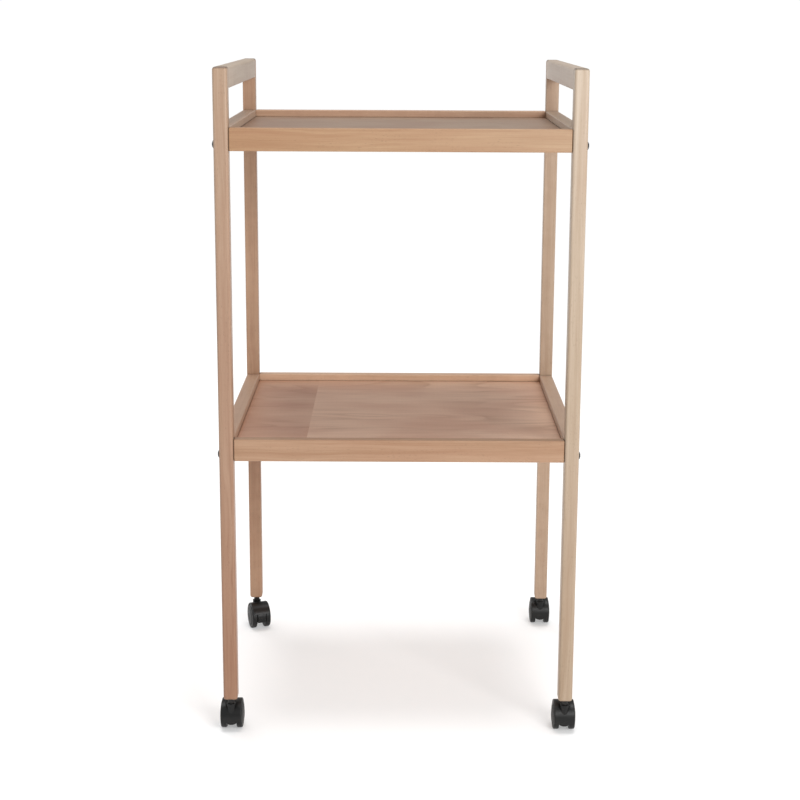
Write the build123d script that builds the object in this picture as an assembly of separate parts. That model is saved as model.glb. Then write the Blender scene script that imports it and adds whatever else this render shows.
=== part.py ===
from build123d import *
import os

# Two-tier serving trolley: two wooden side frames, two trays with sunk panels, four twin-wheel castors.
# Millimetres. +X is right, +Y is back, +Z is up. The origin is on the floor, in the middle of the
# footprint. Three castors trail backward, so the wooden frame stands a little in front of the origin.

# Wooden frame
WIDTH = 450.0              # over the legs
DEPTH = 400.0              # over the legs
HEIGHT = 850.0             # floor to leg tops
FRAME_SHIFT = -10.0        # the frame's middle, measured along Y from the origin
LEG = 18.0                 # side of the square leg
LEG_BOTTOM = 45.0          # floor to the leg's lower end
HANDLE_HEIGHT = 26.0       # of the handle rail's section
RAIL_HEIGHT = 28.0         # of every side rail and apron
APRON_THICKNESS = 14.0
TRAY_TOPS = {"upper": 778.0, "lower": 392.0}

# Edge rounding
LEG_ROUND = 3.5            # the leg's two outer arrises and its ends
LEG_INNER_ROUND = 0.8      # the leg's two arrises beside the rails
RAIL_ROUND = 1.5
APRON_END_ROUND = 2.0
HANDLE_ROUND = 3.5         # along the top, to meet the leg tops

# Tray panel: its thinned edge sits in grooves in the rails and aprons
FIELD_DEPTH = 9.5          # rail top to the panel's upper face
PANEL_THICKNESS = 4.0
TONGUE_RELIEF = 0.6        # the tongue's upper face is this far below the field
FIELD_GAP = 0.5            # round the field
TONGUE_REACH = 4.0         # into each groove
TONGUE_END_GAP = 0.5       # beside the legs
GROOVE_TOP = 9.3           # rail or apron top to the groove's upper side
GROOVE_BOTTOM = 13.6
GROOVE_DEPTH = 4.5

# Joints and fasteners
GLUE_GAP = 0.05            # round a dowel, nut, pin or socket, on the radius
DOWEL_LENGTH = 24.0
DOWEL_CHAMFER = 0.6
HOLE_EXTRA = 0.5           # a blind hole is this much deeper than what it holds
FRAME_DOWEL = 5.0          # diameter, between rails and legs
FRAME_DOWEL_IN_LEG = 10.0
FRAME_DOWEL_OUTSET = 3.0   # side rail dowels lie outside the leg's middle
TRAY_DOWEL = 6.0           # diameter, between aprons and legs
TRAY_DOWEL_IN_LEG = 7.5
TRAY_DOWEL_OUTSET = 2.5    # tray dowels lie outside the apron's middle
HANDLE_DOWEL_DROPS = (7.0, 19.0)    # below the handle rail's top
RAIL_DOWEL_DROPS = (5.5, 12.5)      # below a tray's top
TRAY_DOWEL_DROP = 7.0
BOLT_DROP = 20.0           # tray top to the bolt axis
BOLT = 6.0                 # thread diameter
BOLT_LENGTH = 50.0         # under the head
BOLT_HOLE = 6.5
BOLT_HOLE_DEPTH = 34.0     # into the apron
HEAD = 10.5                # head diameter
HEAD_RIM = 0.5
HEAD_HEIGHT = 2.4
HEX_KEY = 4.0              # across flats
HEX_DEPTH = 1.5
NUT = 10.0                 # barrel nut: diameter and length
NUT_INSET = 28.0           # apron end to the nut's axis
NUT_SLOT = 1.2

# Castor
WHEEL_RADIUS = 17.5
WHEEL_INNER = 6.5          # castor's middle to the wheel's inner face
WHEEL_WIDTH = 9.1          # at the crown of its outer face
WHEEL_RIM = 7.6            # at the rim of its outer face
WHEEL_SHOULDER = 2.0
WHEEL_INNER_BREAK = 0.8
WHEEL_RING = 12.5          # radius of the ring groove on the outer face
WHEEL_RING_SIZE = 0.8
WHEEL_HUB = 4.5            # radius of the shallow hub recess
WHEEL_HUB_DEPTH = 0.5
TRAIL = 13.0               # stem axis to axle
HOOD_TOP = 38.3
HOOD_THICKNESS = 2.4
HOOD_HALF_WIDTH = 13.2
HOOD_ROUND = 1.1
HOOD_LEAD_ANGLE = 193.0    # round the axle, from the trailing side over the top
HOOD_TRAIL_ANGLE = 25.0
WEB_HALF = 6.0             # half the thickness between the wheels
WEB_BOTTOM = 12.0
BOSS_BOTTOM = 10.0
AXLE = 5.0
AXLE_HALF_LENGTH = 13.2
WHEEL_BORE_END = 13.7
STEM = 8.0
STEM_BOTTOM = 14.0
STEM_TOP = 80.0
STEM_CHAMFER = 0.8
STEM_RUNNING_GAP = 0.05
STEM_END_GAP = 0.3
SOCKET = 11.0              # outer diameter
SOCKET_LENGTH = 38.0
SOCKET_BORE = 8.1
RING_HEIGHT = 2.0          # spring ring in the stem's groove
RING_DROP = 8.0            # stem top to the ring's middle
RING_INNER = 6.6
RING_OUTER = 8.6
RING_SLOT = 3.0            # opening in the ring
GROOVE_PLAY = 0.2          # round the ring, in the stem's and the socket's grooves

# Modelling
EDGE_MATCH = 0.05          # how closely an edge found by its radius has to match
WELD = 0.05                # overlap of solids that are joined into one

# Derived places, measured from the frame's own middle
LEG_X = (WIDTH - LEG) / 2
LEG_Y = (DEPTH - LEG) / 2
INNER_X = WIDTH / 2 - LEG                   # inner faces of the side frames
RAIL_END_Y = DEPTH / 2 - LEG                # where rails meet legs
APRON_INNER_Y = LEG_Y - APRON_THICKNESS / 2
HOOD_RADIUS = HOOD_TOP - WHEEL_RADIUS
SIDES = {"left": -1, "right": 1}
ENDS = {"front": -1, "back": 1}
SWIVEL_AT_REST = {                          # degrees; at 0 the wheels trail backward
    ("front", "left"): 0.0,
    ("front", "right"): 0.0,
    ("back", "left"): 199.5,
    ("back", "right"): 0.0,
}


def block(x, y, z):
    """Box between three (low, high) spans."""
    spans = (x, y, z)
    centre = [(low + high) / 2 for low, high in spans]
    size = [high - low for low, high in spans]
    return Pos(*centre) * Box(*size)


def rod(start, end, diameter):
    """Round bar between two points on a line along X, Y or Z."""
    line = Vector(*end) - Vector(*start)
    place = Plane(origin=start, z_dir=line)
    return place * Cylinder(diameter / 2, line.length, align=(Align.CENTER, Align.CENTER, Align.MIN))


def dowel(start, end, diameter):
    """Round dowel with chamfered ends."""
    pin = rod(start, end, diameter)
    return chamfer(pin.edges().filter_by(GeomType.CIRCLE), DOWEL_CHAMFER)


def to_side(part, side):
    """The left-hand part itself, or its mirror image on the right."""
    return part if side == "left" else mirror(part, about=Plane.YZ)


def to_end(part, end):
    """The front part itself, or its mirror image at the back."""
    return part if end == "front" else mirror(part, about=Plane.XZ)


def frame_dowel_lines():
    """Start and end of each dowel at the front of the left side frame."""
    handle = [(-LEG_X, HEIGHT - drop) for drop in HANDLE_DOWEL_DROPS]
    rails = [
        (-LEG_X - FRAME_DOWEL_OUTSET, top - drop)
        for top in TRAY_TOPS.values()
        for drop in RAIL_DOWEL_DROPS
    ]
    start = -RAIL_END_Y - FRAME_DOWEL_IN_LEG
    return [((x, start, z), (x, start + DOWEL_LENGTH, z)) for x, z in handle + rails]


def tray_dowel_line(top):
    """Start and end of the dowel in the front left corner of a tray."""
    start = -INNER_X - TRAY_DOWEL_IN_LEG
    y = -LEG_Y - TRAY_DOWEL_OUTSET
    z = top - TRAY_DOWEL_DROP
    return (start, y, z), (start + DOWEL_LENGTH, y, z)


def drill(part, start, end, diameter, deeper=HOLE_EXTRA):
    """Cut a hole for a rod, a little deeper than the rod at both ends."""
    start, end = Vector(*start), Vector(*end)
    reach = (end - start).normalized() * deeper
    return part - rod(tuple(start - reach), tuple(end + reach), diameter)


def leg():
    """Front left leg. Its outer arrises and ends are well rounded, and its rail side is crisp."""
    post = Pos(-LEG_X, -LEG_Y, (LEG_BOTTOM + HEIGHT) / 2) * Box(LEG, LEG, HEIGHT - LEG_BOTTOM)
    upright = post.edges().filter_by(Axis.Z).sort_by(Axis.Y)
    post = fillet(upright[:2], LEG_ROUND)
    ends = post.edges().group_by(Axis.Z)
    outer = [edge for edge in ends[0] + ends[-1] if edge.center().Y < -LEG_Y + LEG / 4]
    post = fillet(outer, LEG_ROUND)
    post = fillet(post.edges().filter_by(Axis.Z).sort_by(Axis.Y)[-2:], LEG_INNER_ROUND)
    for top in TRAY_TOPS.values():
        z = top - BOLT_DROP
        post = drill(post, (-WIDTH / 2, -LEG_Y, z), (-INNER_X, -LEG_Y, z), BOLT_HOLE)
        post = drill(post, *tray_dowel_line(top), TRAY_DOWEL + 2 * GLUE_GAP)
    for start, end in frame_dowel_lines():
        post = drill(post, start, end, FRAME_DOWEL + 2 * GLUE_GAP)
    socket_end = (-LEG_X, -LEG_Y, LEG_BOTTOM + SOCKET_LENGTH)
    return drill(post, (-LEG_X, -LEG_Y, LEG_BOTTOM), socket_end, SOCKET + 2 * GLUE_GAP)


def side_bar(top, height, upper_round):
    """Left-hand bar between the legs of a side frame, with dowel holes in both ends."""
    bar = block((-WIDTH / 2, -INNER_X), (-RAIL_END_Y, RAIL_END_Y), (top - height, top))
    along = bar.edges().filter_by(Axis.Y).sort_by(Axis.Z)
    bar = fillet(along[-2:], upper_round)
    along = bar.edges().filter_by(Axis.Y).sort_by(Axis.Z)
    bar = fillet(along[:2], RAIL_ROUND)
    for start, end in frame_dowel_lines():
        if top - height < start[2] < top:
            bar = drill(bar, start, end, FRAME_DOWEL + 2 * GLUE_GAP)
            bar = drill(bar, (start[0], -start[1], start[2]), (end[0], -end[1], end[2]),
                        FRAME_DOWEL + 2 * GLUE_GAP)
    return bar


def side_rail(top):
    """Left-hand tray rail, grooved along its inner face for the panel."""
    groove = block((-INNER_X - GROOVE_DEPTH, -INNER_X), (-RAIL_END_Y, RAIL_END_Y),
                   (top - GROOVE_BOTTOM, top - GROOVE_TOP))
    return side_bar(top, RAIL_HEIGHT, RAIL_ROUND) - groove


def apron(top):
    """Front apron of a tray: grooved for the panel, bored for bolts, barrel nuts and dowels."""
    front = -APRON_INNER_Y - APRON_THICKNESS
    bar = block((-INNER_X, INNER_X), (front, -APRON_INNER_Y), (top - RAIL_HEIGHT, top))
    bar = fillet(bar.edges().filter_by(Axis.Z).sort_by(Axis.Y)[:2], APRON_END_ROUND)
    bar = fillet(bar.edges().filter_by(Axis.X), RAIL_ROUND)
    bar -= block((-INNER_X, INNER_X), (-APRON_INNER_Y - GROOVE_DEPTH, -APRON_INNER_Y),
                 (top - GROOVE_BOTTOM, top - GROOVE_TOP))
    z = top - BOLT_DROP
    dowel_start, dowel_end = tray_dowel_line(top)
    for side in (-1, 1):
        end_x = side * INNER_X
        nut_x = end_x - side * NUT_INSET
        bar -= rod((end_x, -LEG_Y, z), (end_x - side * BOLT_HOLE_DEPTH, -LEG_Y, z), BOLT_HOLE)
        bar -= rod((nut_x, -LEG_Y - NUT / 2 - GLUE_GAP, z), (nut_x, -APRON_INNER_Y, z),
                   NUT + 2 * GLUE_GAP)
        bar = drill(bar, (-side * dowel_start[0], *dowel_start[1:]), (-side * dowel_end[0], *dowel_end[1:]),
                    TRAY_DOWEL + 2 * GLUE_GAP)
    return bar


def panel(top):
    """Tray panel: a flat field with a thinned tongue all round, notched at the corners for the legs."""
    upper = top - FIELD_DEPTH
    lower = upper - PANEL_THICKNESS
    field_x = INNER_X - FIELD_GAP
    field_y = APRON_INNER_Y - FIELD_GAP
    tongue = (lower, upper - TONGUE_RELIEF)
    into_rails = (INNER_X + TONGUE_REACH, RAIL_END_Y - TONGUE_END_GAP)
    into_aprons = (INNER_X - TONGUE_END_GAP, APRON_INNER_Y + TONGUE_REACH)
    board = block((-field_x, field_x), (-field_y, field_y), (lower, upper))
    for x, y in (into_rails, into_aprons):
        board += block((-x, x), (-y, y), tongue)
    return board


def bolt(top):
    """Low domed bolt with a hex socket, through the front left leg into the apron."""
    crown = HEAD_HEIGHT - HEAD_RIM
    ball_radius = ((HEAD / 2) ** 2 + crown ** 2) / (2 * crown)
    head = Cylinder(HEAD / 2, HEAD_HEIGHT, align=(Align.CENTER, Align.CENTER, Align.MIN))
    head &= Pos(0, 0, HEAD_HEIGHT - ball_radius) * Sphere(ball_radius)
    key = extrude(RegularPolygon(HEX_KEY / 2, 6, major_radius=False), HEX_DEPTH)
    head -= Pos(0, 0, HEAD_HEIGHT - HEX_DEPTH) * key
    shank = Cylinder(BOLT / 2, BOLT_LENGTH, align=(Align.CENTER, Align.CENTER, Align.MAX))
    shank = chamfer(shank.edges().sort_by(Axis.Z)[0], DOWEL_CHAMFER)
    seat = Plane(origin=(-WIDTH / 2, -LEG_Y, top - BOLT_DROP), z_dir=(-1, 0, 0))
    return seat * (head + shank)


def barrel_nut(top):
    """Cross nut in the front apron's left end, with a screwdriver slot in its inner end."""
    x = -INNER_X + NUT_INSET
    z = top - BOLT_DROP
    inner_end = -LEG_Y + NUT / 2
    nut = rod((x, inner_end - NUT, z), (x, inner_end, z), NUT)
    nut -= rod((x - NUT, -LEG_Y, z), (x + NUT, -LEG_Y, z), BOLT + 2 * GLUE_GAP)
    slot = block((x - NUT, x + NUT), (inner_end - NUT_SLOT, inner_end), (z - NUT_SLOT / 2, z + NUT_SLOT / 2))
    return nut - slot


def four_corners(part):
    """A front left part and its mirror images in the other three corners, as one group."""
    return Compound([to_end(to_side(part, side), end).solid() for side in SIDES for end in ENDS])


def side_dowels(side):
    """All dowels of one side frame, as one group."""
    front = [dowel(start, end, FRAME_DOWEL) for start, end in frame_dowel_lines()]
    return Compound([to_end(to_side(pin, side), end).solid() for pin in front for end in ENDS])


def hood():
    """Castor hood: a curved cover over both wheels, a web between them and a boss round the stem."""
    axle = Plane(origin=(-HOOD_HALF_WIDTH, TRAIL, WHEEL_RADIUS), x_dir=(0, 1, 0), z_dir=(1, 0, 0))
    sweep = HOOD_LEAD_ANGLE - HOOD_TRAIL_ANGLE
    inner = HOOD_RADIUS - HOOD_THICKNESS
    arcs = [CenterArc((0, 0), radius, HOOD_TRAIL_ANGLE, sweep) for radius in (inner, HOOD_RADIUS)]
    ends = [Line(arcs[0] @ at, arcs[1] @ at) for at in (0, 1)]
    section = make_face(arcs + ends)
    cover = extrude(axle * section, 2 * HOOD_HALF_WIDTH)
    outside = [e for e in cover.edges().filter_by(GeomType.CIRCLE) if abs(e.radius - HOOD_RADIUS) < EDGE_MATCH]
    cover = fillet(outside, HOOD_ROUND)
    web = rod((-WEB_HALF, TRAIL, WHEEL_RADIUS), (WEB_HALF, TRAIL, WHEEL_RADIUS), 2 * (inner + WELD))
    reach = TRAIL + HOOD_RADIUS
    web -= block((-WEB_HALF, WEB_HALF), (-reach, reach), (-reach, WEB_BOTTOM))
    boss = rod((0, 0, BOSS_BOTTOM), (0, 0, HOOD_TOP), 2 * WEB_HALF)
    body = cover + web + boss
    body -= rod((0, 0, STEM_BOTTOM - STEM_END_GAP), (0, 0, HOOD_TOP), STEM + 2 * STEM_RUNNING_GAP)
    return body - rod((-WEB_HALF, TRAIL, WHEEL_RADIUS), (WEB_HALF, TRAIL, WHEEL_RADIUS), AXLE + GLUE_GAP)


def wheel(direction):
    """Wheel on one side of the web: a tread, a rounded shoulder and a crowned outer face."""
    rim_radius = WHEEL_RADIUS - WHEEL_SHOULDER
    tread_end = WHEEL_RIM - WHEEL_SHOULDER
    half_way = rim_radius / 2
    crown = WHEEL_WIDTH - WHEEL_RIM
    half_way_fall = crown / 4       # a shallow arc has fallen a quarter of its height half way out
    outline = [
        Line((0, 0), (0, WHEEL_RADIUS - WHEEL_INNER_BREAK)),
        Line((0, WHEEL_RADIUS - WHEEL_INNER_BREAK), (WHEEL_INNER_BREAK, WHEEL_RADIUS)),
        Line((WHEEL_INNER_BREAK, WHEEL_RADIUS), (tread_end, WHEEL_RADIUS)),
        CenterArc((tread_end, rim_radius), WHEEL_SHOULDER, 0, 90),
        ThreePointArc((WHEEL_RIM, rim_radius), (WHEEL_WIDTH - half_way_fall, half_way), (WHEEL_WIDTH, 0)),
        Line((WHEEL_WIDTH, 0), (0, 0)),
    ]
    disc = revolve(make_face(outline), Axis.X)
    ring = Plane.YZ.offset(WHEEL_WIDTH) * Torus(WHEEL_RING, WHEEL_RING_SIZE)
    ring = Pos(-crown * (WHEEL_RING / rim_radius) ** 2, 0, 0) * ring
    disc -= ring
    disc -= rod((WHEEL_WIDTH - WHEEL_HUB_DEPTH, 0, 0), (WHEEL_WIDTH, 0, 0), 2 * WHEEL_HUB)
    disc -= rod((0, 0, 0), (WHEEL_BORE_END - WHEEL_INNER, 0, 0), AXLE + 2 * GLUE_GAP)
    placed = Pos(WHEEL_INNER, TRAIL, WHEEL_RADIUS) * disc
    return placed if direction > 0 else mirror(placed, about=Plane.YZ)


def axle():
    """Steel pin through the web, with a wheel on each end."""
    pin = rod((-AXLE_HALF_LENGTH, TRAIL, WHEEL_RADIUS), (AXLE_HALF_LENGTH, TRAIL, WHEEL_RADIUS), AXLE)
    return chamfer(pin.edges().filter_by(GeomType.CIRCLE), DOWEL_CHAMFER)


def ring_span(play=0.0):
    """Lowest and highest points of the spring ring on the stem, with play at both ends."""
    middle = STEM_TOP - RING_DROP
    return middle - RING_HEIGHT / 2 - play, middle + RING_HEIGHT / 2 + play


def tube(z, inner, outer):
    """Upright tube on the stem's axis."""
    return rod((0, 0, z[0]), (0, 0, z[1]), outer) - rod((0, 0, z[0]), (0, 0, z[1]), inner)


def stem():
    """Steel stem with a groove near its top for the spring ring."""
    pin = rod((0, 0, STEM_BOTTOM), (0, 0, STEM_TOP), STEM)
    pin = chamfer(pin.edges().filter_by(GeomType.CIRCLE), STEM_CHAMFER)
    return pin - tube(ring_span(GROOVE_PLAY), RING_INNER - 2 * GROOVE_PLAY, STEM + GROOVE_PLAY)


def spring_ring():
    """Split ring that holds the stem in its socket."""
    ring = tube(ring_span(), RING_INNER, RING_OUTER)
    return ring - block((-RING_SLOT / 2, RING_SLOT / 2), (0, RING_OUTER), ring_span())


def socket():
    """Moulded sleeve in the leg's lower end, grooved inside for the spring ring."""
    sleeve = tube((LEG_BOTTOM, LEG_BOTTOM + SOCKET_LENGTH), SOCKET_BORE, SOCKET)
    return sleeve - tube(ring_span(GROOVE_PLAY), STEM, RING_OUTER + 2 * GROOVE_PLAY)


def castors():
    """All pieces of the four castors, in place under their legs."""
    swivelling = {"hood": hood(), "axle": axle(), "wheel_a": wheel(-1), "wheel_b": wheel(1)}
    fixed = {"stem": stem(), "spring_ring": spring_ring(), "socket": socket()}
    pieces = {}
    for (end, side), angle in SWIVEL_AT_REST.items():
        place = Pos(SIDES[side] * LEG_X, ENDS[end] * LEG_Y, 0)
        turned = place * Rot(0, 0, angle)
        name = f"castor_{end}_{side}"
        pieces.update({f"{name}_{piece}": turned * shape for piece, shape in swivelling.items()})
        pieces.update({f"{name}_{piece}": place * shape for piece, shape in fixed.items()})
    return pieces


def trolley():
    """Every node of the trolley by name, about the frame's own middle."""
    nodes = castors()
    front_left_leg = leg()
    for side in SIDES:
        for end in ENDS:
            nodes[f"leg_{end}_{side}"] = to_end(to_side(front_left_leg, side), end)
        nodes[f"handle_rail_{side}"] = to_side(side_bar(HEIGHT, HANDLE_HEIGHT, HANDLE_ROUND), side)
        nodes[f"frame_dowels_{side}"] = side_dowels(side)
    for tray, top in TRAY_TOPS.items():
        for side in SIDES:
            nodes[f"{tray}_side_rail_{side}"] = to_side(side_rail(top), side)
        for end in ENDS:
            nodes[f"{tray}_apron_{end}"] = to_end(apron(top), end)
        nodes[f"{tray}_panel"] = panel(top)
        nodes[f"{tray}_bolts"] = four_corners(bolt(top))
        nodes[f"{tray}_barrel_nuts"] = four_corners(barrel_nut(top))
        nodes[f"{tray}_dowels"] = four_corners(dowel(*tray_dowel_line(top), TRAY_DOWEL))
    return nodes


os.makedirs("parts", exist_ok=True)
for node_name, shape in trolley().items():
    export_step(Pos(0, FRAME_SHIFT, 0) * shape, f"parts/{node_name}.step")
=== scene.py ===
import math

import bmesh
import bpy
from mathutils import Matrix, Vector

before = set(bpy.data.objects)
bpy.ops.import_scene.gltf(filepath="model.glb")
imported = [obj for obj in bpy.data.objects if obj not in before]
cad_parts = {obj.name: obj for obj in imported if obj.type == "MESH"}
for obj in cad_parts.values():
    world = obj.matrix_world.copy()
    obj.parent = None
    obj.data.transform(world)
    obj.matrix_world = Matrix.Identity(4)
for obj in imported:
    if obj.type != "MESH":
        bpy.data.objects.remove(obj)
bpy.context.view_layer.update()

MM_PER_METRE = 1000.0


# ---------------------------------------------------------------- node helpers

class Graph:
    """A material's node tree, with one short call for each kind of node that the materials use."""

    def __init__(self, name):
        self.material = bpy.data.materials.new(name)
        self.material.use_nodes = True
        self.tree = self.material.node_tree
        self.tree.nodes.clear()
        self.shader = self.tree.nodes.new("ShaderNodeBsdfPrincipled")
        output = self.tree.nodes.new("ShaderNodeOutputMaterial")
        self.tree.links.new(self.shader.outputs[0], output.inputs["Surface"])

    def feed(self, socket, value):
        """Link a node's output to a socket, or set the socket to a plain value."""
        if isinstance(value, bpy.types.NodeSocket):
            self.tree.links.new(value, socket)
        elif value is not None:
            socket.default_value = value

    def node(self, kind, inputs=(), **settings):
        """Add a node with its settings, and feed its inputs."""
        made = self.tree.nodes.new(kind)
        for name, value in settings.items():
            setattr(made, name, value)
        for key, value in dict(inputs).items():
            self.feed(made.inputs[key], value)
        return made

    def math(self, operation, a, b=None, c=None, clamp=False):
        made = self.node("ShaderNodeMath", operation=operation, use_clamp=clamp)
        for index, value in enumerate((a, b, c)):
            self.feed(made.inputs[index], value)
        return made.outputs[0]

    def mix(self, factor, a, b, blend="MIX"):
        made = self.node("ShaderNodeMix", data_type="RGBA", blend_type=blend, clamp_factor=True)
        for index, value in ((0, factor), (6, a), (7, b)):
            self.feed(made.inputs[index], value)
        return made.outputs[2]

    def combine(self, x, y, z):
        return self.node("ShaderNodeCombineXYZ", {0: x, 1: y, 2: z}).outputs[0]

    def noise(self, vector, scale=1.0, detail=2.0, roughness=0.5, distortion=0.0):
        made = self.node("ShaderNodeTexNoise", {
            "Vector": vector, "Scale": scale, "Detail": detail,
            "Roughness": roughness, "Distortion": distortion,
        })
        return made.outputs["Fac"]

    def spread(self, value, low, high, to_low=0.0, to_high=1.0, smooth=True):
        """Map a value from low..high to to_low..to_high, clamped."""
        made = self.node("ShaderNodeMapRange", {
            "Value": value, "From Min": low, "From Max": high, "To Min": to_low, "To Max": to_high,
        }, interpolation_type="SMOOTHSTEP" if smooth else "LINEAR", clamp=True)
        return made.outputs["Result"]

    def bump(self, height, strength, distance):
        made = self.node("ShaderNodeBump", {"Height": height, "Strength": strength, "Distance": distance})
        self.feed(self.shader.inputs["Normal"], made.outputs[0])

    def surface(self, **values):
        """Set the shader's own sockets. Underscores in a name stand for spaces."""
        for name, value in values.items():
            self.feed(self.shader.inputs[name.replace("_", " ")], value)


def linear(red, green, blue):
    """A display colour, 0 to 255, as the linear colour that shaders use."""
    def channel(value):
        value /= 255
        return value / 12.92 if value <= 0.04045 else ((value + 0.055) / 1.055) ** 2.4
    return (channel(red), channel(green), channel(blue), 1.0)


def deeper(colour, share):
    """A colour with each channel brought down to a share of itself."""
    return tuple(share * channel for channel in colour)


def grey(level):
    """A neutral linear colour."""
    return (level, level, level, 1.0)


def place_in_mm(graph, shift=(0.0, 0.0, 0.0)):
    """Object coordinates in millimetres, with an offset, as three separate values."""
    where = graph.node("ShaderNodeTexCoord").outputs["Object"]
    scaled = graph.node("ShaderNodeMapping", {
        "Vector": where, "Location": shift, "Scale": (MM_PER_METRE,) * 3,
    })
    return graph.node("ShaderNodeSeparateXYZ", {0: scaled.outputs[0]}).outputs


# ---------------------------------------------------------------- wood

GRAIN_ORDER = {"x": (0, 1, 2), "y": (1, 0, 2), "z": (2, 0, 1)}   # along the grain first, then across it
# the stretch of each axis over which a board's painted shade fades from its low end, in metres
BOARD_SPAN = {"x": (-0.2, 0.2), "y": (-0.2, 0.2), "z": (0.1, 0.8)}


def board_shift(seed):
    """Where in the tree a board was cut: a different place for each seed."""
    return (seed * 613.0 % 977.0, seed * 389.0 % 701.0, seed * 271.0 % 587.0)


def end_grain(graph, axis):
    """1 on faces cut across the grain, 0 along it."""
    normal = graph.node("ShaderNodeTexCoord").outputs["Normal"]
    along = graph.node("ShaderNodeSeparateXYZ", {0: normal}).outputs[GRAIN_ORDER[axis][0]]
    return graph.spread(graph.math("ABSOLUTE", along), 0.25, 0.7)


RING_WIDTH = 2.6          # mm between growth rings
FLAME_RINGS = 11.0        # rings that a veneer's relief passes through
RING_SWAY = 26.0          # mm that the rings wander along a board
SEAM_SHADE_DEPTH = 0.55         # how far the painted shade in a joint goes towards its deep tone
BOARD_SHADE_REACH = 0.004        # metres: the widest joint or corner between boards that gets painted shade, partly standing for lacquer gathered there
PANEL_SHADE_REACH = 0.022        # metres: how far the painted contact shade and warm bounce light reach in from a panel's edge
LACQUER = {"IOR": 1.48, "Coat_Weight": 0.1, "Coat_Roughness": 0.28}


def ruddy(colour):
    """The pinker tone that steamed beech has in clouds."""
    return colour[0], 0.93 * colour[1], 0.92 * colour[2]


def warm_contact_shade(colour):
    """The deeper, warmer tone of the painted contact shade and warm bounce light beside a panel's edge."""
    return 0.92 * colour[0], 0.78 * colour[1], 0.62 * colour[2]


def pale(colour):
    """The tone of an arris that hands and sanding have rubbed lighter."""
    return tuple(min(255.0, 1.08 * channel) for channel in colour)


def worn_edge(graph):
    """1 along rounded arrises, 0 on flats, broken up so that the rubbing is uneven."""
    bevel = graph.node("ShaderNodeNewGeometry").outputs["Pointiness"]
    where = graph.node("ShaderNodeTexCoord").outputs["Object"]
    patchy = graph.spread(graph.noise(where, scale=60.0, detail=3.0), 0.35, 0.65, 0.4, 1.0)
    return graph.math("MULTIPLY", graph.spread(bevel, 0.505, 0.56), patchy)


def paint_seam_shade(graph, colour, reach, deep):
    """Paint shade: blend a deep display colour into the joints and corners that ambient occlusion finds
    within reach, in metres.
    """
    shade = graph.node("ShaderNodeAmbientOcclusion", {"Distance": reach}, samples=6)
    painted_shade = graph.math("SUBTRACT", 1.0, graph.spread(shade.outputs["AO"], 0.25, 0.8))
    return graph.mix(graph.math("MULTIPLY", painted_shade, SEAM_SHADE_DEPTH), colour, linear(*deep))


def ray_flecks(graph, where, share):
    """Short dark ray flecks, each in its own cell of the pattern; only a share of the cells has one."""
    cells = graph.node("ShaderNodeTexVoronoi", {
        "Vector": where, "Scale": 1.0, "Randomness": 1.0,
    }, feature="F1")
    kind = graph.node("ShaderNodeSeparateXYZ", {0: cells.outputs["Color"]}).outputs[0]
    shape = graph.spread(cells.outputs["Distance"], 0.27, 0.12)
    return graph.math("MULTIPLY", shape, graph.spread(kind, 1.0 - share, 1.05 - share))


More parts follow.
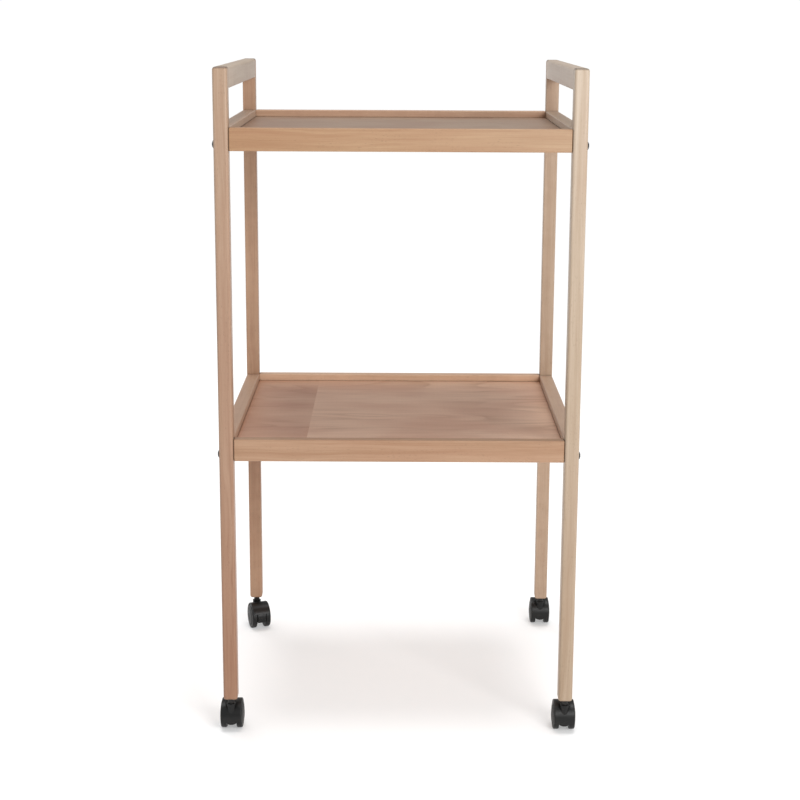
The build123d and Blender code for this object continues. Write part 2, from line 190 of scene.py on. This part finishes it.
def beech(name, axis, seed, light, dark, low_end_shade=(1.0, 1.0, 1.0), flecks=0.5, figure=0.5, gloss=0.46):
    """Lacquered beech. The growth rings run round a pith that lies beside the board, so every face agrees.

    Painted shade along the board: at its low end the colour is multiplied by a given factor, darker as if
    less light fell there.
    """
    graph = Graph(name)
    home = graph.node("ShaderNodeTexCoord").outputs["Object"]
    local = graph.node("ShaderNodeSeparateXYZ", {0: home}).outputs
    parts = place_in_mm(graph, board_shift(seed))
    order = GRAIN_ORDER[axis]
    along, across, up = (parts[index] for index in order)

    def stretched(length, width):
        """Coordinates for a pattern about length mm long and width mm wide."""
        return graph.combine(graph.math("DIVIDE", along, length), graph.math("DIVIDE", across, width),
                             graph.math("DIVIDE", up, width))

    def pith_distance(index, offset, sway):
        """How far the pith lies along one crosswise axis, wandering slowly along the board."""
        plain = graph.math("MULTIPLY_ADD", local[index], MM_PER_METRE, offset)
        return graph.math("MULTIPLY_ADD", sway, RING_SWAY, plain)

    a = pith_distance(order[1], 46.0 + seed * 17.0 % 31.0, graph.noise(stretched(190.0, 40.0), detail=3.0))
    b = pith_distance(order[2], 28.0 + seed * 23.0 % 37.0, graph.noise(stretched(230.0, 34.0), detail=3.0))
    radius = graph.math("SQRT", graph.math("ADD", graph.math("MULTIPLY", a, a), graph.math("MULTIPLY", b, b)))
    ring = graph.math("FRACT", graph.math("DIVIDE", radius, RING_WIDTH))
    late = graph.math("MULTIPLY", graph.math("POWER", ring, 4.0), graph.spread(ring, 1.0, 0.9))
    by_year = graph.combine(graph.math("DIVIDE", radius, 8.0), graph.math("DIVIDE", along, 900.0), 0.0)
    years = graph.noise(by_year, detail=3.0, roughness=0.6)
    fibre = graph.noise(stretched(22.0, 0.4), detail=4.0, roughness=0.65)
    streak = graph.noise(stretched(110.0, 3.2), detail=3.0, roughness=0.55)
    cloud = graph.noise(stretched(260.0, 38.0), detail=2.0)

    patches = graph.spread(graph.noise(stretched(60.0, 12.0), detail=2.0), 0.42, 0.62, 0.25, 1.0)
    long_flecks = ray_flecks(graph, stretched(7.0, 1.0), 0.4)
    short_flecks = ray_flecks(graph, stretched(4.0, 0.7), 0.3)
    fleck = graph.math("MULTIPLY", graph.math("MAXIMUM", long_flecks, short_flecks), patches)

    tone = graph.math("MULTIPLY", graph.spread(years, 0.3, 0.7), figure)
    tone = graph.math("MULTIPLY_ADD", late, 0.18, tone)
    tone = graph.math("MULTIPLY_ADD", graph.spread(streak, 0.3, 0.72), 0.3, tone)
    tone = graph.math("MULTIPLY_ADD", graph.spread(fibre, 0.28, 0.75), 0.16, tone, clamp=True)
    colour = graph.mix(tone, linear(*light), linear(*dark))
    colour = graph.mix(graph.spread(cloud, 0.42, 0.7, 0.0, 0.3), colour, linear(*ruddy(dark)))
    colour = graph.mix(graph.math("MULTIPLY", fleck, flecks), colour, linear(*deeper(dark, 0.66)))
    # painted shade: the colour darkens towards the board's low end, on the legs towards the floor
    away_from_shade = graph.spread(local[order[0]], *BOARD_SPAN[axis], smooth=False)
    colour = graph.mix(1.0, colour, graph.mix(away_from_shade, (*low_end_shade, 1.0), (1.0, 1.0, 1.0, 1.0)), blend="MULTIPLY")
    ends = end_grain(graph, axis)
    pores = graph.noise(graph.combine(*parts), scale=1.6, detail=3.0, roughness=0.7)
    cut = graph.mix(graph.math("MULTIPLY_ADD", late, 0.4, graph.spread(pores, 0.35, 0.7, 0.0, 0.5)),
                    linear(*deeper(dark, 0.76)), linear(*deeper(dark, 0.55)))
    colour = graph.mix(graph.math("MULTIPLY", ends, 0.92), colour, cut)
    colour = graph.mix(graph.math("MULTIPLY", worn_edge(graph), 0.22), colour, linear(*pale(light)))
    # painted shade in joints and corners, partly standing for lacquer gathered there
    colour = paint_seam_shade(graph, colour, BOARD_SHADE_REACH, deeper(dark, 0.45))
    graph.surface(
        Base_Color=colour,
        Roughness=graph.math("MULTIPLY_ADD", fibre, 0.14, gloss - 0.07),
        Specular_IOR_Level=0.4,
        **LACQUER,
    )
    grain = graph.math("MULTIPLY_ADD", fleck, -0.5, fibre)
    graph.bump(graph.math("MULTIPLY_ADD", late, -0.25, grain), 0.25, 0.0001)
    return graph.material


def veneer(name, seed, light, dark, joint, left_leaf):
    """Lacquered beech veneer in two leaves with a straight joint: broad flat-sawn figure along X."""
    graph = Graph(name)
    home = graph.node("ShaderNodeTexCoord").outputs["Object"]
    x = graph.node("ShaderNodeSeparateXYZ", {0: home}).outputs[0]
    leaf = graph.math("LESS_THAN", x, joint)
    parts = place_in_mm(graph, board_shift(seed))
    along = graph.math("MULTIPLY_ADD", leaf, 431.0, parts[0])
    across = graph.math("MULTIPLY_ADD", leaf, 173.0, parts[1])

    def stretched(length, width):
        """Coordinates for a flat pattern about length mm long and width mm wide."""
        return graph.combine(graph.math("DIVIDE", along, length), graph.math("DIVIDE", across, width), 0.0)

    def pattern(length, width, detail, **kind):
        return graph.noise(stretched(length, width), detail=detail, **kind)

    relief = pattern(420.0, 120.0, 2.0, distortion=0.35)
    flame = graph.math("FRACT", graph.math("MULTIPLY", relief, FLAME_RINGS))
    late = graph.math("MULTIPLY", graph.math("POWER", flame, 2.5), graph.spread(flame, 1.0, 0.88))
    strength = graph.spread(pattern(150.0, 60.0, 2.0), 0.4, 0.64)
    fibre = pattern(26.0, 0.45, 4.0, roughness=0.65)
    streak = pattern(90.0, 3.4, 3.0)
    cloud = pattern(190.0, 90.0, 2.0)
    fleck = ray_flecks(graph, stretched(6.5, 0.9), 0.38)
    tone = graph.math("MULTIPLY", graph.math("MULTIPLY", late, strength), 0.75)
    tone = graph.math("MULTIPLY_ADD", graph.spread(streak, 0.32, 0.7), 0.34, tone)
    tone = graph.math("MULTIPLY_ADD", graph.spread(fibre, 0.28, 0.75), 0.22, tone, clamp=True)
    colour = graph.mix(tone, linear(*light), linear(*dark))
    colour = graph.mix(graph.spread(cloud, 0.4, 0.68, 0.0, 0.55), colour, linear(*ruddy(dark)))
    colour = graph.mix(graph.math("MULTIPLY", fleck, 0.35), colour, linear(*deeper(dark, 0.7)))
    colour = graph.mix(leaf, colour, graph.mix(1.0, colour, (*left_leaf, 1.0), blend="MULTIPLY"))
    # painted contact shade and warm bounce light from the aprons along the panel's edges
    colour = paint_seam_shade(graph, colour, PANEL_SHADE_REACH, warm_contact_shade(dark))
    graph.surface(
        Base_Color=colour,
        Roughness=graph.math("MULTIPLY_ADD", fibre, 0.12, 0.4),
        Specular_IOR_Level=0.38,
        **LACQUER,
    )
    graph.bump(graph.math("MULTIPLY_ADD", fleck, -0.5, fibre), 0.2, 0.00008)
    return graph.material


# ---------------------------------------------------------------- plastics and metals

def nylon(name, tone, roughness, seed):
    """Black moulded nylon with a fine spark-eroded texture and faint handling marks."""
    graph = Graph(name)
    parts = place_in_mm(graph, board_shift(seed))
    where = graph.combine(*parts)
    grit = graph.noise(where, scale=3.2, detail=3.0, roughness=0.7)
    marks = graph.noise(where, scale=0.16, detail=5.0, roughness=0.62, distortion=0.7)
    worn = graph.spread(marks, 0.5, 0.72)
    colour = graph.mix(graph.math("MULTIPLY", worn, 0.5), linear(*(tone,) * 3), linear(*(tone * 1.6,) * 3))
    graph.surface(
        Base_Color=colour,
        Roughness=graph.math("MULTIPLY_ADD", worn, 0.12, roughness),
        IOR=1.5,
        Specular_IOR_Level=0.35,
    )
    graph.bump(grit, 0.22, 0.00008)
    return graph.material


def metal(name, colour, roughness, scratch):
    """Plated steel with fine turned marks."""
    graph = Graph(name)
    parts = place_in_mm(graph)
    brushed = graph.noise(graph.combine(graph.math("MULTIPLY", parts[0], 0.4), parts[1], parts[2]),
                          scale=4.0, detail=4.0, roughness=0.7)
    stain = graph.noise(graph.combine(*parts), scale=0.25, detail=3.0)
    graph.surface(
        Base_Color=graph.mix(graph.spread(stain, 0.4, 0.7), linear(*colour), linear(*deeper(colour, 0.82))),
        Metallic=1.0,
        Roughness=graph.math("MULTIPLY_ADD", brushed, 0.2, roughness),
    )
    graph.bump(brushed, scratch, 0.00004)
    return graph.material


def black_oxide(name):
    """Chemically blackened bolt head: dark, slightly oily, not quite even."""
    graph = Graph(name)
    where = graph.combine(*place_in_mm(graph))
    patch = graph.noise(where, scale=0.7, detail=4.0, roughness=0.6)
    graph.surface(
        Base_Color=graph.mix(graph.spread(patch, 0.35, 0.7), linear(26, 25, 25), linear(46, 43, 40)),
        Metallic=0.35,
        Roughness=graph.math("MULTIPLY_ADD", patch, 0.2, 0.3),
        Specular_IOR_Level=0.4,
    )
    graph.bump(patch, 0.15, 0.00005)
    return graph.material


# ---------------------------------------------------------------- materials on the CAD nodes

def dress(node, material):
    """Give a CAD node its finish."""
    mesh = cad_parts[node].data
    mesh.materials.clear()
    mesh.materials.append(material)


EVEN = (1.0, 1.0, 1.0)      # no painted shade at the low end
# The tones are partly the beech's own and partly painted light: the back aprons are lighter and the front
# aprons darker for the light each gets, and the handle rails greyer as a painted reflection.
# board, grain, light tone, dark tone, and the painted shade towards its low end: the factor its colour is
# multiplied by there
BOARDS = (
    ("leg_front_left", "z", (187, 164, 142), (153, 122, 98), (0.74, 0.55, 0.47)),
    ("leg_back_left", "z", (180, 147, 121), (149, 111, 86), (0.95, 0.95, 0.93)),
    ("leg_front_right", "z", (188, 172, 154), (164, 143, 121), (0.84, 0.77, 0.70)),
    ("leg_back_right", "z", (181, 159, 138), (157, 129, 104), (0.95, 0.91, 0.89)),
    ("handle_rail_left", "y", (191, 175, 157), (169, 147, 125), EVEN),
    ("handle_rail_right", "y", (195, 179, 162), (174, 151, 130), EVEN),
    ("upper_side_rail_left", "y", (190, 170, 150), (170, 138, 115), EVEN),
    ("upper_side_rail_right", "y", (188, 168, 147), (169, 141, 116), EVEN),
    ("lower_side_rail_left", "y", (186, 157, 134), (165, 127, 101), EVEN),
    ("lower_side_rail_right", "y", (188, 163, 141), (168, 136, 112), EVEN),
    ("upper_apron_front", "x", (176, 147, 117), (150, 115, 86), (1.0, 0.92, 0.84)),
    ("upper_apron_back", "x", (194, 162, 136), (169, 131, 104), EVEN),
    ("lower_apron_front", "x", (177, 144, 117), (148, 111, 82), EVEN),
    ("lower_apron_back", "x", (214, 181, 154), (187, 151, 121), EVEN),
)
PANEL_JOINT = {"upper": 0.131, "lower": -0.118}      # X of the joint between a panel's two leaves


def dress_wood():
    """Every board gets beech of its own seed and tones, and each panel its veneer."""
    for seed, (board, grain, light, dark, low_end_shade) in enumerate(BOARDS, start=1):
        dress(board, beech(f"beech_{board}", grain, seed, light, dark, low_end_shade))
    # The upper veneer's darker tones and the lower veneer's lighter ones are partly painted light: one
    # veneer, toned for how lit each panel looks.
    dress("upper_panel", veneer("veneer_upper", 31, (162, 139, 118), (136, 108, 88), PANEL_JOINT["upper"],
                                (0.97, 0.95, 0.94)))
    dress("lower_panel", veneer("veneer_lower", 37, (219, 183, 158), (182, 143, 117), PANEL_JOINT["lower"],
                                (0.85, 0.78, 0.75)))


def dress_fittings():
    """Pins, nuts, bolts and castor parts, matched by a word in the node's name."""
    pin = beech("raw_beech_dowel", "y", 40, (222, 196, 158), (196, 160, 120))
    zinc = metal("zinc_plate", (176, 178, 182), 0.26, 0.15)
    black = black_oxide("black_oxide")
    hood = nylon("nylon_hood", 9, 0.40, 3)
    tyre = nylon("nylon_wheel", 11, 0.44, 7)
    kinds = {"dowels": pin, "barrel_nuts": zinc, "bolts": black, "hood": hood, "axle": zinc, "wheel": tyre,
             "stem": black, "spring_ring": zinc, "socket": hood}
    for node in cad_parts:
        for word, material in kinds.items():
            if word in node:
                dress(node, material)


# ---------------------------------------------------------------- floor, light and camera

FLOOR_RADIUS = 40.0
FLOOR_SIDES = 96
FLOOR_WHITE = 0.71
FLOOR_MOTTLE = 0.01        # how much darker the floor's cloudy patches are
FLOOR_GLOW = 0.32          # lifts the shadows, as light from beyond the floor would
ROOM_LIGHT = 0.46          # what the white surround gives
BACKDROP = 1.02            # how bright the surround itself looks: just past white
TOP_LIGHT = 1.65           # a wide, even light from almost overhead
TOP_SPREAD = 30.0          # degrees
TOP_PLACE = (0.0, 0.0, 3.0)
TOP_FROM = (0.02, 0.02, 1.0)
KEY_LIGHT = 28.0           # watts, from the front right
KEY_PLACE = (0.90, -1.85, 1.20)
LIGHT_AIM = (0.0, 0.0, 0.62)
KEY_SIZE = (0.9, 0.8)
FILL_LIGHT = 13.0          # watts, from the back left
FILL_PLACE = (-1.5, 2.0, 1.3)
FILL_SIZE = (1.4, 1.2)


def lay_floor():
    """A round white floor, far larger than any view of it."""
    mesh = bpy.data.meshes.new("floor")
    form = bmesh.new()
    bmesh.ops.create_circle(form, cap_ends=True, segments=FLOOR_SIDES, radius=FLOOR_RADIUS)
    form.to_mesh(mesh)
    form.free()
    floor = bpy.data.objects.new("floor", mesh)
    bpy.context.scene.collection.objects.link(floor)
    graph = Graph("floor_paint")
    where = graph.node("ShaderNodeTexCoord").outputs["Object"]
    mottle = graph.noise(where, scale=3.0, detail=3.0)
    graph.surface(
        Base_Color=graph.mix(mottle, grey(FLOOR_WHITE), grey(FLOOR_WHITE - FLOOR_MOTTLE)),
        Roughness=0.9,
        Specular_IOR_Level=0.0,
        Emission_Color=grey(1.0),
        Emission_Strength=FLOOR_GLOW,
    )
    mesh.materials.append(graph.material)


def light_studio():
    """A white surround, a wide light overhead, a soft box at the front right and a weak fill behind."""
    world = bpy.data.worlds.new("studio")
    world.use_nodes = True
    tree = world.node_tree
    room = tree.nodes["Background"]
    room.inputs["Color"].default_value = grey(1.0)
    room.inputs["Strength"].default_value = ROOM_LIGHT
    backdrop = tree.nodes.new("ShaderNodeBackground")
    backdrop.inputs["Color"].default_value = grey(1.0)
    backdrop.inputs["Strength"].default_value = BACKDROP
    seen = tree.nodes.new("ShaderNodeLightPath").outputs["Is Camera Ray"]
    choose = tree.nodes.new("ShaderNodeMixShader")
    for socket, value in zip(choose.inputs, (seen, room.outputs[0], backdrop.outputs[0])):
        tree.links.new(value, socket)
    tree.links.new(choose.outputs[0], tree.nodes["World Output"].inputs["Surface"])
    bpy.context.scene.world = world
    top = bpy.data.lights.new("top_light", "SUN")
    top.energy = TOP_LIGHT
    top.angle = math.radians(TOP_SPREAD)
    hang_lamp(top, TOP_PLACE, TOP_FROM)
    for name, power, place, size in (("soft_box", KEY_LIGHT, KEY_PLACE, KEY_SIZE),
                                     ("fill_panel", FILL_LIGHT, FILL_PLACE, FILL_SIZE)):
        box = bpy.data.lights.new(name, "AREA")
        box.shape = "RECTANGLE"
        box.energy = power
        box.size, box.size_y = size
        hang_lamp(box, place, Vector(place) - Vector(LIGHT_AIM))
    bpy.context.scene.view_settings.view_transform = "Standard"


def hang_lamp(light, place, facing_from):
    """Hang a light so that it shines from the given direction."""
    lamp = bpy.data.objects.new(light.name, light)
    lamp.location = place
    lamp.rotation_euler = Vector(facing_from).to_track_quat("Z", "Y").to_euler()
    bpy.context.scene.collection.objects.link(lamp)


CAMERA_PLACE = (0.0006, -2.177, 0.9098)
CAMERA_PITCH = -11.906     # degrees, below the horizon
CAMERA_ROLL = 0.275
CAMERA_LENS = 73.38
CAMERA_SHIFT = -0.05


def set_camera():
    """The photographer's standpoint. Pitch takes the place of most of the photo's shift."""
    camera = bpy.data.cameras.new("camera")
    camera.sensor_width = 36.0
    camera.lens = CAMERA_LENS
    camera.shift_y = CAMERA_SHIFT
    viewer = bpy.data.objects.new("camera", camera)
    viewer.matrix_world = (
        Matrix.Translation(CAMERA_PLACE)
        @ Matrix.Rotation(math.radians(90 + CAMERA_PITCH), 4, "X")
        @ Matrix.Rotation(math.radians(CAMERA_ROLL), 4, "Z")
    )
    bpy.context.scene.collection.objects.link(viewer)
    bpy.context.scene.camera = viewer


set_camera()
dress_wood()
dress_fittings()
lay_floor()
light_studio()
